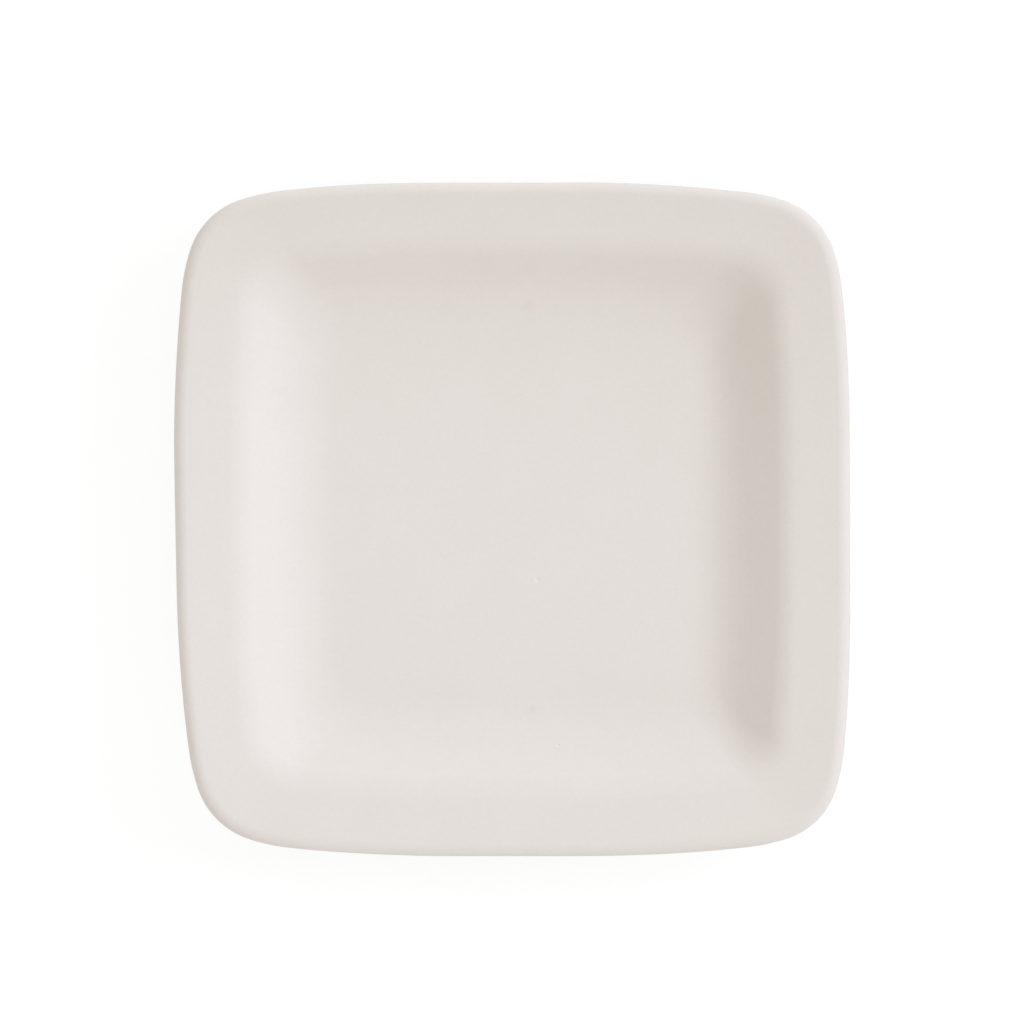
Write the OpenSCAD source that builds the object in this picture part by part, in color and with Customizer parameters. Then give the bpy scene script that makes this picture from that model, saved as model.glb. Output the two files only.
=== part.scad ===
// Square salad plate, cast in one piece in plain white earthenware and left unglazed.
// The outline is a square whose sides are straight in the middle and bend slowly towards round
// corners. A gently rising rim rolls over into a square well, and the plate stands on a foot ring
// under the edge of the flat floor.
// The origin is at the middle of the foot, in the plane that the plate stands on.

/* [Plate] */
// Width across the middle of two opposite sides
plate_w = 203; // [170:1:280]
// Height from the bottom of the foot to the top of the lip
plate_h = 23; // [19:0.5:32]
// Thickness of the clay in the rim, the wall and the floor
clay_t = 6; // [4:0.25:8]

/* [Outline] */
// Length of the straight middle of each side
side_flat = 40; // [10:1:64]
// Radius of the slow bend from the straight middle to the corner
shoulder_r = 450; // [250:5:900]
// Radius of the plate's outer corners
corner_r = 27; // [18:0.5:45]
// Radius of the corners of the flat floor
floor_corner_r = 12.5; // [5:0.5:20]
// How early the corners tighten on the way in, where 1 is evenly
corner_ease = 2.8; // [1:0.1:4]

/* [Rim and well] */
// Width of the rim, from the edge to where it starts to roll over
rim_w = 16; // [9:0.5:25]
// Rise of the rim towards its edge, in degrees
rim_rise = 6; // [2:0.5:12]
// How far in from the edge the rounding of the lip reaches
lip_w = 3.75; // [3:0.25:8]
// Radius of the roll from the rim down into the well
roll_r = 14; // [10:0.5:26]
// Slope of the wall of the well, in degrees
wall_slope = 39; // [30:0.5:50]
// Radius of the cove between the wall and the floor
cove_r = 30; // [18:0.5:42]

/* [Foot] */
// Height of the foot ring below the base
foot_h = 2.5; // [1.5:0.1:4]
// Width of the foot ring
foot_w = 7; // [4:0.25:12]
// How far the foot ring reaches out past the edge of the flat floor
foot_reach = 8; // [3:0.25:12]
// Rounding of the foot ring's bottom edges
foot_edge_r = 0.8; // [0.4:0.1:1.2]

/* [Finish] */
// The most that a flat facet may stand away from the true curve
facet_gap = 0.05; // [0.04:0.01:0.2]

/* [Hidden] */
bisque_white = [0.89, 0.87, 0.85];

// The section lies in a plane of inset from the edge and height. A direction in it is an angle
// from straight up, positive towards the middle of the plate.
function toward(angle) = [sin(angle), cos(angle)];

// Lip: half an ellipse that lies along the rim's slope and rounds off the edge of the clay
lip_half = clay_t / 2;
lip_mid = [
    norm([lip_w * cos(rim_rise), lip_half * sin(rim_rise)]),
    plate_h - norm([lip_w * sin(rim_rise), lip_half * cos(rim_rise)])
];
lip_top = lip_mid + lip_half * toward(rim_rise);

// Angles round the ellipse, from its join with the top of the rim, to its highest and outermost points
lip_highest = atan(lip_w / lip_half * tan(rim_rise));
lip_outermost = 90 + atan(lip_half / lip_w * tan(rim_rise));

// Roll: it starts where the rim ends, and turns the rim's slope into the wall's
roll_top = [rim_w, lip_top[1] - (rim_w - lip_top[0]) * tan(rim_rise)];
roll_mid = roll_top - roll_r * toward(rim_rise);
roll_end = roll_mid + roll_r * toward(wall_slope);

// Cove: the straight wall runs down until it meets the cove, which sets the edge of the floor. A cove
// too large for the depth of the well is cut to leave a little straight wall.
least_wall = 0.5;
floor_top = foot_h + clay_t;
wall_drop = roll_end[1] - floor_top;
cove_fit_r = min(cove_r, (wall_drop - least_wall) / (1 - cos(wall_slope)));
wall_run = (wall_drop - cove_fit_r * (1 - cos(wall_slope))) / tan(wall_slope);
floor_in = roll_end[0] + wall_run + cove_fit_r * sin(wall_slope);
cove_mid = [floor_in, floor_top + cove_fit_r];

// Foot: its sides run into the clay above in fillets that take up the rest of its height
foot_fillet = foot_h - foot_edge_r;
foot_outer = floor_in - foot_reach;
foot_inner = foot_outer + foot_w;
under_cove_r = cove_fit_r + clay_t;
foot_turn = asin((foot_reach + foot_fillet) / (under_cove_r + foot_fillet));
outer_fillet_mid = cove_mid - (under_cove_r + foot_fillet) * toward(foot_turn);
inner_fillet_mid = [foot_inner + foot_fillet, foot_edge_r];
outer_edge_mid = [foot_outer + foot_edge_r, foot_edge_r];
inner_edge_mid = [foot_inner - foot_edge_r, foot_edge_r];

// Facets that keep a curve of this radius and turn within facet_gap of its true line
function facets(radius, turn) = ceil(abs(turn) / (2 * acos(1 - facet_gap / abs(radius))));

// Points along an arc from one direction to another. A negative radius gives a hollow curve, and
// an arc that starts on the last point drawn leaves out its own first point.
function arc(mid, radius, from, to, first = 0) =
    let (steps = facets(radius, to - from))
    [for (i = [first : steps]) mid + radius * toward(from + (to - from) * i / steps)];

// Points along the lip, between two angles round its ellipse
function lip_arc(from, to, first = 0) =
    let (steps = facets(max(lip_w, lip_half), to - from))
    [for (i = [first : steps])
        let (angle = from + (to - from) * i / steps)
        lip_mid + lip_half * cos(angle) * toward(rim_rise) + lip_w * sin(angle) * toward(rim_rise - 90)];

// The whole section, from the edge of the floor up the well, over the lip and back to the base
section = concat(
    arc(cove_mid, -cove_fit_r, 0, wall_slope),
    arc(roll_mid, roll_r, wall_slope, rim_rise),
    lip_arc(0, lip_highest),
    lip_arc(lip_highest, lip_outermost, first = 1),
    lip_arc(lip_outermost, 180, first = 1),
    arc(roll_mid, roll_r - clay_t, rim_rise, wall_slope),
    arc(cove_mid, -under_cove_r, wall_slope, foot_turn),
    arc(outer_fillet_mid, foot_fillet, foot_turn, 90, first = 1),
    arc(outer_edge_mid, foot_edge_r, -90, -180),
    arc(inner_edge_mid, foot_edge_r, 180, 90),
    arc(inner_fillet_mid, foot_fillet, -90, 0, first = 1)
);

// Outline at an inset from the edge: a straight middle on each side, joined tangentially to shoulder
// arcs about fixed centres and to corner arcs, whose radius eases from the outer corners to the floor's
shoulder_off = shoulder_r - plate_w / 2;

function corner_r_at(inset) =
    let (way_out = max(0, 1 - inset / floor_in))
    floor_corner_r + (corner_r - floor_corner_r) * pow(way_out, corner_ease);

// Distance from a shoulder arc's centre to the corner arc's centre at this inset
function corner_reach(inset) = shoulder_r - inset - corner_r_at(inset);

// Angle that a shoulder arc takes up at this inset, so that the corner's centre is on the diagonal
function shoulder_turn(inset) =
    acos((shoulder_off + side_flat / 2) / (sqrt(2) * corner_reach(inset))) - 45;

shoulder_facets = facets(shoulder_r, shoulder_turn(0));
corner_facets = facets(corner_r, 90 - 2 * shoulder_turn(0));

function along(angle) = [cos(angle), sin(angle)];
function quarter_turns(p, turns) = turns == 0 ? p : quarter_turns([-p[1], p[0]], turns - 1);

// One side and the corner after it: the shoulder that comes from the corner before, the shoulder
// that goes on to this corner, with the straight middle between them, and the corner arc. The last
// two leave out their last points, where the next arc starts.
function quarter_outline(inset) =
    let (
        turn = shoulder_turn(inset),
        before = [-shoulder_off, -side_flat / 2],
        after = [-shoulder_off, side_flat / 2],
        corner = after + corner_reach(inset) * along(turn)
    )
    concat(
        [for (i = [0 : shoulder_facets])
            before + (shoulder_r - inset) * along(turn * (i / shoulder_facets - 1))],
        [for (i = [0 : shoulder_facets - 1])
            after + (shoulder_r - inset) * along(turn * i / shoulder_facets)],
        [for (i = [0 : corner_facets - 1])
            corner + corner_r_at(inset) * along(turn + (90 - 2 * turn) * i / corner_facets)]
    );

ring_points = 4 * len(quarter_outline(0));

function ring(inset, height) =
    [for (turns = [0 : 3], p = quarter_outline(inset))
        let (turned = quarter_turns(p, turns)) [turned[0], turned[1], height]];

// Skin over the rings that the section draws: two triangles from each point of a ring to the next
// ring, closed by the flat floor on top and the flat base underneath
module plate_body() {
    points = [for (p = section) each ring(p[0], p[1])];
    last_ring = len(section) - 1;
    floor_face = [for (j = [ring_points - 1 : -1 : 0]) j];
    base_face = [for (j = [0 : ring_points - 1]) last_ring * ring_points + j];
    skin = [for (i = [0 : last_ring - 1], j = [0 : ring_points - 1])
        let (
            here = i * ring_points + j,
            beside = i * ring_points + (j + 1) % ring_points
        )
        each [
            [here, beside, beside + ring_points],
            [here, beside + ring_points, here + ring_points]
        ]];
    color(bisque_white) polyhedron(points, concat([floor_face, base_face], skin), convexity = 4);
}

plate_body();
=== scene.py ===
from math import acos, asin, atan, copysign, cos, degrees, exp, hypot, pi, radians, sin, sqrt, tan

import bmesh
import bpy
from mathutils import Matrix, Vector, noise


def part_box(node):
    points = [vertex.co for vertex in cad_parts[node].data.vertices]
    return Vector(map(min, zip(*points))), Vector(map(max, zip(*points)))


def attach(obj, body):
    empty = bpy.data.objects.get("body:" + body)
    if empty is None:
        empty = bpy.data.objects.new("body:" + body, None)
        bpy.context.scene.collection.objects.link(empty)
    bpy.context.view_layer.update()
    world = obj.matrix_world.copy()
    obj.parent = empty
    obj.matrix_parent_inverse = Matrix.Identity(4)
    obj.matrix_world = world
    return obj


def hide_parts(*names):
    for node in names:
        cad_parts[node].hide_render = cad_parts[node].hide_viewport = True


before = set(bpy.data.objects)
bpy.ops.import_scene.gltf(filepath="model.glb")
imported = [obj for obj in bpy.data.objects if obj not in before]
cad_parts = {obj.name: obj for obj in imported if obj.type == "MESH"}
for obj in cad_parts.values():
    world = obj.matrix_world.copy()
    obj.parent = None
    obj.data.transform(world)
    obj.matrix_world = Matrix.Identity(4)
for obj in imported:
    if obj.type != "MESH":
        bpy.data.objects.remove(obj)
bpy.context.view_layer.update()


# Plate body: one casting of white earthenware, fired once to bisque and left unglazed. The wall is
# even, the lip is rounded, and the foot ring under the edge of the floor is part of the casting.
# Rings of its square outline are extruded one from another along the section, from floor to base.
MM = 0.001
low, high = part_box("plate_body")
half_width = (high[0] - low[0]) / 2
height = high[2] - low[2]
clay = 6 * MM
rim_width = 16 * MM
rim_rise = 6
lip_width = 3.75 * MM
roll_radius = 14 * MM
wall_slope = 39
cove_radius = 30 * MM
foot_height = 2.5 * MM
foot_width = 7 * MM
foot_reach = 8 * MM
foot_edge = 0.8 * MM


def toward(angle):
    """A direction in the section, by its angle in degrees from straight up towards the middle."""
    return Vector((sin(radians(angle)), cos(radians(angle))))


def arc(mid, radius, start, end, steps):
    """Insets and heights along an arc of the section. A negative radius gives a hollow curve."""
    return [mid + radius * toward(start + (end - start) * i / steps) for i in range(steps + 1)]


def run(start, end, steps):
    """Insets and heights between two points of the section, without the points themselves."""
    return [start.lerp(end, i / steps) for i in range(1, steps)]


lip_across = lip_width * toward(rim_rise - 90)
lip_up = clay / 2 * toward(rim_rise)
lip_mid = Vector((hypot(lip_across.x, lip_up.x), height - hypot(lip_across.y, lip_up.y)))
lip_top = lip_mid + lip_up
roll_top = Vector((rim_width, lip_top.y - (rim_width - lip_top.x) * tan(radians(rim_rise))))
roll_mid = roll_top - roll_radius * toward(rim_rise)
roll_end = roll_mid + roll_radius * toward(wall_slope)
floor_height = foot_height + clay
cove_rise = cove_radius * (1 - cos(radians(wall_slope)))
wall_run = (roll_end.y - floor_height - cove_rise) / tan(radians(wall_slope))
floor_inset = roll_end.x + wall_run + cove_radius * sin(radians(wall_slope))
cove_mid = Vector((floor_inset, floor_height + cove_radius))
under_cove = cove_radius + clay
fillet = foot_height - foot_edge
foot_outer = floor_inset - foot_reach
foot_inner = foot_outer + foot_width
foot_turn = degrees(asin((foot_reach + fillet) / (under_cove + fillet)))
outer_fillet_mid = cove_mid - (under_cove + fillet) * toward(foot_turn)
inner_fillet_mid = Vector((foot_inner + fillet, foot_edge))
outer_edge_mid = Vector((foot_outer + foot_edge, foot_edge))
inner_edge_mid = Vector((foot_inner - foot_edge, foot_edge))

cove_steps = 20
wall_steps = 6
roll_steps = 16
rim_steps = 7
lip_steps = 32
under_roll_steps = 12
under_cove_steps = 10
fillet_steps = 8
foot_steps = 6
lip_turns = [pi * i / lip_steps for i in range(lip_steps + 1)]
cove = arc(cove_mid, -cove_radius, 0, wall_slope, cove_steps)
roll = arc(roll_mid, roll_radius, wall_slope, rim_rise, roll_steps)
lip = [lip_mid + cos(t) * lip_up + sin(t) * lip_across for t in lip_turns]
under_roll = arc(roll_mid, roll_radius - clay, rim_rise, wall_slope, under_roll_steps)
under_wall = arc(cove_mid, -under_cove, wall_slope, foot_turn, under_cove_steps)
foot_side = arc(outer_fillet_mid, fillet, foot_turn, 90, fillet_steps)[1:]
foot_out = arc(outer_edge_mid, foot_edge, -90, -180, foot_steps)
foot_in = arc(inner_edge_mid, foot_edge, 180, 90, foot_steps)
base_edge = arc(inner_fillet_mid, fillet, -90, 0, fillet_steps)[1:]
section = cove + run(cove[-1], roll[0], wall_steps) + roll
section += run(roll[-1], lip[0], rim_steps) + lip + run(lip[-1], under_roll[0], rim_steps)
section += under_roll + run(under_roll[-1], under_wall[0], wall_steps) + under_wall
section += foot_side + foot_out + run(foot_out[-1], foot_in[0], foot_steps) + foot_in + base_edge

# Outline: each side is straight in the middle and bends slowly at its shoulders. On the rim an easing
# arc leads into the tight arc of each corner, and on the way in it dies out and the corner tightens.
half_flat = 20 * MM
shoulder_radius = 450 * MM
shoulder_off = shoulder_radius - half_width
corner_radius = 23.6 * MM
corner_ease = 2.2
easing_slack = 37.6 * MM
easing_end = radians(17.7)
flat_steps = 4
shoulder_steps = 10
easing_steps = 6
corner_steps = 10
half_steps = flat_steps + shoulder_steps + easing_steps + corner_steps

# No casting is quite true: this one dried a little out of square, its left side bows out more than
# its right, and its well sits off the middle. Each corner of its rim moved by up to half a millimetre,
# and the right front corner of its floor is tighter. The lists start at the right back corner and go
# round by the left.
skew = -0.0039
bow = 0.05
well_drift = Vector((0.25, 1.1)) * MM
corner_shifts = [Vector(v) * MM for v in ((0.32, -0.18), (0.08, 0.29), (0.16, -0.07), (0.49, -0.06))]
floor_corner_radii = [r * MM for r in (12.5, 12.5, 12.5, 8.5)]


def heading(angle):
    """A direction in the plan, by its angle in radians from +X towards +Y."""
    return Vector((cos(angle), sin(angle)))


def outline(step, inset):
    """A point of the outline at an inset from the edge, by steps from the middle of the +X side."""
    quarter = (step + half_steps) // (2 * half_steps)
    part = step - quarter * 2 * half_steps
    corner = step // (2 * half_steps)
    way_out = max(0, 1 - inset / floor_inset)
    floor_radius = floor_corner_radii[corner]
    radius = floor_radius + (corner_radius - floor_radius) * way_out ** corner_ease
    on_rim = max(0, 1 - inset / rim_width)
    slack = easing_slack * on_rim
    reach = shoulder_radius - inset - radius - slack
    gap = shoulder_off + half_flat - slack * (cos(easing_end) - sin(easing_end))
    turn = acos(gap / (sqrt(2) * reach)) - pi / 4
    past_flat = abs(part) - flat_steps
    past_shoulder = past_flat - shoulder_steps
    past_easing = past_shoulder - easing_steps
    shoulder_mid = Vector((-shoulder_off, half_flat))
    easing_mid = shoulder_mid + reach * heading(turn)
    if past_flat <= 0:
        point = Vector((half_width - inset, half_flat * abs(part) / flat_steps))
    elif past_shoulder <= 0:
        angle = turn * past_flat / shoulder_steps
        point = shoulder_mid + (shoulder_radius - inset) * heading(angle)
    elif past_easing <= 0:
        angle = turn + (easing_end - turn) * past_shoulder / easing_steps
        point = easing_mid + (radius + slack) * heading(angle)
    else:
        angle = easing_end + (pi / 4 - easing_end) * past_easing / corner_steps
        point = easing_mid + slack * heading(easing_end) + radius * heading(angle)
    point.y = copysign(point.y, part)
    near_corner = min(1, max(0, past_flat / shoulder_steps))
    shift = near_corner ** 2 * (3 - 2 * near_corner) * on_rim
    return Matrix.Rotation(quarter * pi / 2, 2) @ point + shift * corner_shifts[corner]


def place(verts, inset, level):
    """Put a ring of vertices on the outline at this inset and height."""
    drift = well_drift * min(1, inset / rim_width)
    for vert in verts:
        x, y = outline(vert[step_layer], inset) + drift
        vert.co = (x + skew * y + bow * y * y, y + skew * x, level)


def next_ring(edges):
    """Extrude an open ring of edges, and give the new ring's vertices and edges."""
    grown = bmesh.ops.extrude_edge_only(bm, edges=edges)["geom"]
    verts = [g for g in grown if isinstance(g, bmesh.types.BMVert)]
    return verts, [g for g in grown if isinstance(g, bmesh.types.BMEdge) and g.is_boundary]


bm = bmesh.new()
step_layer = bm.verts.layers.int.new("step")
ring = bmesh.ops.create_circle(bm, cap_ends=False, segments=8 * half_steps, radius=half_width)["verts"]
for step, vert in enumerate(ring):
    vert[step_layer] = step
place(ring, *section[0])
floor_edges = bm.edges[:]
edges = floor_edges
for inset, level in section[1:]:
    verts, edges = next_ring(edges)
    place(verts, inset, level)

# The flat floor and the flat base are filled with rings drawn in towards the middle.
flat_rings = 12
for edges, level in ((floor_edges, floor_height), (edges, foot_height)):
    for rings_left in range(flat_rings - 1, 0, -1):
        verts, edges = next_ring(edges)
        shrink = rings_left / (rings_left + 1)
        bmesh.ops.scale(bm, vec=(shrink, shrink, 1), verts=verts)
    bmesh.ops.pointmerge(bm, verts=verts, merge_co=(0, 0, level))
bmesh.ops.recalc_face_normals(bm, faces=bm.faces)

# Air in the slip left two small pits, one in the floor and one in the cove at the front. Each has its
# middle, its radius and its depth.
pit_facet = 0.22 * MM
pits = (
    (Vector((7.5, -18.6, 8.5)) * MM, 1.35 * MM, 0.22 * MM),
    (Vector((13.6, -68.8, 12.5)) * MM, 0.6 * MM, 0.15 * MM),
)


def long_edges_near(middle, radius):
    """Edges within a pit, or just outside it, that are too long to draw its curve."""
    found = []
    for edge in bm.edges:
        edge_middle = (edge.verts[0].co + edge.verts[1].co) / 2
        length = edge.calc_length()
        if length > pit_facet and (edge_middle - middle).length < radius + length:
            found.append(edge)
    return found


for middle, radius, depth in pits:
    too_long = long_edges_near(middle, radius)
    while too_long:
        bmesh.ops.subdivide_edges(bm, edges=too_long, cuts=1, use_grid_fill=True)
        too_long = long_edges_near(middle, radius)
    for vert in bm.verts:
        away = (vert.co - middle).length / radius
        if away < 1:
            vert.co.z -= depth * (1 - away * away) ** 2

# Slow swells of a tenth of a millimetre run over it, and the slip gathered a little in the right back
# corner of the well. The foot and the base are ground flat.
swell = 0.1 * MM
swell_length = 32 * MM
heap = 0.4 * MM
heap_middle = Vector((65, 66)) * MM
heap_width = 10 * MM
heap_length = 12 * MM
ground_up_to = 1.01 * foot_height
bm.normal_update()
for vert in bm.verts:
    if vert.co.z > ground_up_to:
        aside, along = vert.co.xy - heap_middle
        vert.co += vert.normal * swell * noise.noise(vert.co / swell_length)
        vert.co.z += heap * exp(-(aside / heap_width) ** 2 - (along / heap_length) ** 2)
for face in bm.faces:
    face.smooth = True
plate_mesh = bpy.data.meshes.new("plate_body_casting")
bm.to_mesh(plate_mesh)
bm.free()
plate = bpy.data.objects.new("plate_body_casting", plate_mesh)
bpy.context.scene.collection.objects.link(plate)


class Socket:
    """An output socket whose operators add Math nodes, so that masks are written as sums."""

    def __init__(self, tree, output):
        self.tree = tree
        self.output = output

    def add(self, kind, settings=None, **inputs):
        """Add a node of this type, with its settings first and then its sockets' values or links."""
        node = self.tree.nodes.new(kind)
        for name, value in (settings or {}).items():
            setattr(node, name, value)
        for name, value in inputs.items():
            key = int(name[1:]) if name[0] == "i" and name[1:].isdigit() else name.replace("_", " ")
            socket = node.inputs[key]
            if isinstance(value, Socket):
                self.tree.links.new(value.output, socket)
            else:
                socket.default_value = value
        return node

    def math(self, operation, a, b=0.0):
        node = self.add("ShaderNodeMath", {"operation": operation}, i0=a, i1=b)
        return Socket(self.tree, node.outputs[0])

    def __add__(self, other):
        return self.math("ADD", self, other)

    def __mul__(self, other):
        return self.math("MULTIPLY", self, other)

    def __sub__(self, other):
        return self.math("SUBTRACT", self, other)

    def __rsub__(self, other):
        return self.math("SUBTRACT", other, self)

    __radd__ = __add__
    __rmul__ = __mul__


# Bisque: unglazed clay, matte and warm white. The fine sand in it shows as an even grain, the firing
# left clouds that hardly show, and handling left two faint stains, one ochre and one grey.
dark_clay = (0.778, 0.7235, 0.688, 1)
light_clay = (0.797, 0.7435, 0.71, 1)
cloud_size = 14 * MM
cloud_contrast = 1.2
fleck_size = 1.2 * MM
fleck_contrast = 3.8
ochre = (0.765, 0.69, 0.62, 1)
ochre_middle = Vector((5.1, 64.8, 9.9)) * MM
ochre_radius = 3.2 * MM
ochre_strength = 0.65
grey = (0.745, 0.695, 0.655, 1)
grey_middle = Vector((5.8, -58.3, 8.8)) * MM
grey_radius = 2.2 * MM
sand_size = 0.45 * MM
sand_height = 0.2 * MM
sand_strength = 0.12
least_roughness = 0.84
roughness_spread = 0.1
sheen = 0.35
bisque = bpy.data.materials.new("bisque")
bisque.use_nodes = True
tree = bisque.node_tree
shader = tree.nodes["Principled BSDF"]
start = Socket(tree, None)
place_at = Socket(tree, start.add("ShaderNodeTexCoord").outputs["Object"])


def grain(size, detail, rough):
    """Noise with features of about this size, as a value round one half."""
    node = start.add("ShaderNodeTexNoise", Vector=place_at, Scale=1 / size, Detail=detail, Roughness=rough)
    return Socket(tree, node.outputs["Fac"])


def blend_tones(factor, first, second):
    """A colour between two others, each given as a value or as a socket."""
    node = start.add("ShaderNodeMix", {"data_type": "RGBA"}, Factor=factor, A=first, B=second)
    return Socket(tree, node.outputs["Result"])


def stain(middle, radius):
    """A blot with a ragged edge, one at its middle and nothing past its radius."""
    away = start.add("ShaderNodeVectorMath", {"operation": "DISTANCE"}, i0=place_at, i1=middle)
    ragged = Socket(tree, away.outputs["Value"]) + (fleck - 0.5) * radius
    fade = start.add("ShaderNodeMapRange", {"interpolation_type": "SMOOTHSTEP"}, Value=ragged)
    fade.inputs["From Max"].default_value = radius
    fade.inputs["To Min"].default_value = 1
    fade.inputs["To Max"].default_value = 0
    return Socket(tree, fade.outputs["Result"])


cloud = grain(cloud_size, detail=3, rough=0.55)
fleck = grain(fleck_size, detail=4, rough=0.75)
lightness = cloud * cloud_contrast + fleck * fleck_contrast - (cloud_contrast + fleck_contrast - 1) / 2
tone = blend_tones(lightness, dark_clay, light_clay)
tone = blend_tones(stain(ochre_middle, ochre_radius) * ochre_strength, tone, ochre)
tone = blend_tones(stain(grey_middle, grey_radius), tone, grey)
tree.links.new(tone.output, shader.inputs["Base Color"])

sand = grain(sand_size, detail=3, rough=0.65)
surface = sand * 0.5 + fleck * 0.5
bump = start.add("ShaderNodeBump", Strength=sand_strength, Distance=sand_height, Height=surface)
tree.links.new(bump.outputs["Normal"], shader.inputs["Normal"])
roughness = fleck * roughness_spread + least_roughness
tree.links.new(roughness.output, shader.inputs["Roughness"])
shader.inputs["Specular IOR Level"].default_value = sheen

plate_mesh.materials.append(bisque)
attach(plate, "root")
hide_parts("plate_body")


# Table: a plain white sheet under the plate, wide enough to reach past every view. The camera sees
# it almost white, and the plate's soft shadow stays on it.
table_reach = 6
sheet_white = (0.8, 0.8, 0.8, 1)
white = (1, 1, 1, 1)
sheet_glow = 1.12
shadow_kept = 0.25
table_bm = bmesh.new()
bmesh.ops.create_grid(table_bm, x_segments=1, y_segments=1, size=table_reach)
table_mesh = bpy.data.meshes.new("table")
table_bm.to_mesh(table_mesh)
table_bm.free()
table = bpy.data.objects.new("table", table_mesh)
bpy.context.scene.collection.objects.link(table)


def seen_directly(nodes):
    """One for rays that show the background: from the camera, a reflection or through glass."""
    path = nodes.add("ShaderNodeLightPath")
    camera = Socket(nodes.tree, path.outputs["Is Camera Ray"])
    glossy = Socket(nodes.tree, path.outputs["Is Glossy Ray"])
    through = Socket(nodes.tree, path.outputs["Is Transmission Ray"])
    return nodes.math("MAXIMUM", nodes.math("MAXIMUM", camera, glossy), through)


sheet = bpy.data.materials.new("table_white")
sheet.use_nodes = True
sheet_tree = sheet.node_tree
sheet_tree.nodes.remove(sheet_tree.nodes["Principled BSDF"])
sheet_start = Socket(sheet_tree, None)
matte = sheet_start.add("ShaderNodeBsdfDiffuse", Color=sheet_white)
glow = sheet_start.add("ShaderNodeEmission", Color=white, Strength=sheet_glow)
blend = sheet_start.add("ShaderNodeMixShader", Fac=seen_directly(sheet_start) * (1 - shadow_kept))
sheet_tree.links.new(matte.outputs[0], blend.inputs[1])
sheet_tree.links.new(glow.outputs[0], blend.inputs[2])
sheet_tree.links.new(blend.outputs[0], sheet_tree.nodes["Material Output"].inputs["Surface"])
table_mesh.materials.append(sheet)


# Light: a cloth tent, white at its front and back walls and dim and warm at its sides, a wide cool
# softbox at the right, two soft downlights, a bar across the middle and a round pool at the front
# left, and a strip low behind the plate that lights little but the far lip.
side_cloth = (0.359, 0.3, 0.2, 1)
end_cloth = (1.269, 1.299, 1.32, 1)
world = bpy.data.worlds.new("tent")
bpy.context.scene.world = world
world.use_nodes = True
world_tree = world.node_tree
tent_start = Socket(world_tree, None)
tent = tent_start.add("ShaderNodeMix", {"data_type": "RGBA"}, Factor=seen_directly(tent_start))
outward = Socket(world_tree, tent_start.add("ShaderNodeTexCoord").outputs["Generated"])
toward_wall = tent_start.add("ShaderNodeSeparateXYZ", Vector=outward)
end_wall = tent_start.math("ABSOLUTE", Socket(world_tree, toward_wall.outputs["Y"]))
cloth = tent_start.add("ShaderNodeMix", {"data_type": "RGBA"}, Factor=end_wall, A=side_cloth, B=end_cloth)
world_tree.links.new(cloth.outputs["Result"], tent.inputs["A"])
tent.inputs["B"].default_value = white
world_tree.links.new(tent.outputs["Result"], world_tree.nodes["Background"].inputs["Color"])


def softbox(name, width, length, distance, level, turned):
    """A rectangular light at a distance along its own axis, which gives this level at the plate."""
    box = bpy.data.lights.new(name, "AREA")
    box.shape = "RECTANGLE"
    box.size = width
    box.size_y = length
    box.energy = level * pi * distance ** 2
    box_object = bpy.data.objects.new(name, box)
    box_object.rotation_euler = turned
    box_object.location = distance * (box_object.rotation_euler.to_matrix() @ Vector((0, 0, 1)))
    bpy.context.scene.collection.objects.link(box_object)
    return box_object


lamp_azimuth = 20
lamp_elevation = 31.8
lamp_turned = (0, radians(90 - lamp_elevation), radians(lamp_azimuth))
lamp = softbox("lamp", width=1.9, length=9.6, distance=16, level=1.4, turned=lamp_turned)
lamp.data.color = (0.75, 0.84, 1)


def downlight(name, x, y, reach_x, reach_y, watts, color):
    """A spotlight a metre above the table, whose patch of light fades out at these reaches."""
    spot = bpy.data.lights.new(name, "SPOT")
    spot.energy = watts
    spot.color = color
    spot.spot_size = 2 * atan(reach_x)
    spot.spot_blend = 1
    spot.shadow_soft_size = 50 * MM
    spot_object = bpy.data.objects.new(name, spot)
    spot_object.location = (x, y, 1)
    spot_object.scale = (1, reach_y / reach_x, 1)
    bpy.context.scene.collection.objects.link(spot_object)


downlight("bar", -60 * MM, 0, reach_x=0.75, reach_y=0.15, watts=1.82, color=(0.74, 0.92, 1))
downlight("pool", -15 * MM, -55 * MM, reach_x=0.2, reach_y=0.2, watts=2.41, color=(0.7, 0.77, 1))

strip_distance = 4
strip_elevation = 0.4
strip_turned = (-pi / 2, 0, 0)
strip = softbox("strip", width=4, length=0.05, distance=strip_distance, level=0.2, turned=strip_turned)
strip.location.z = height + strip_distance * tan(radians(strip_elevation))


# Camera: almost straight above the plate, with a long lens. It leans a little to the plate's far side
# and is turned by a fraction of a degree.
camera_distance = 900 * MM
camera_lean = 3.3
camera_turn = -0.28
frame_width = 308.1 * MM
view_middle = Vector((-0.2 * MM, 2.85 * MM, height - clay / 2))
camera_data = bpy.data.cameras.new("camera")
camera_data.lens = camera_data.sensor_width * camera_distance / frame_width
camera = bpy.data.objects.new("camera", camera_data)
camera.rotation_euler = (radians(-camera_lean), 0, radians(camera_turn))
backward = camera.rotation_euler.to_matrix() @ Vector((0, 0, 1))
camera.location = view_middle + camera_distance * backward
bpy.context.scene.collection.objects.link(camera)
bpy.context.scene.camera = camera

bpy.context.scene.view_settings.view_transform = "Standard"
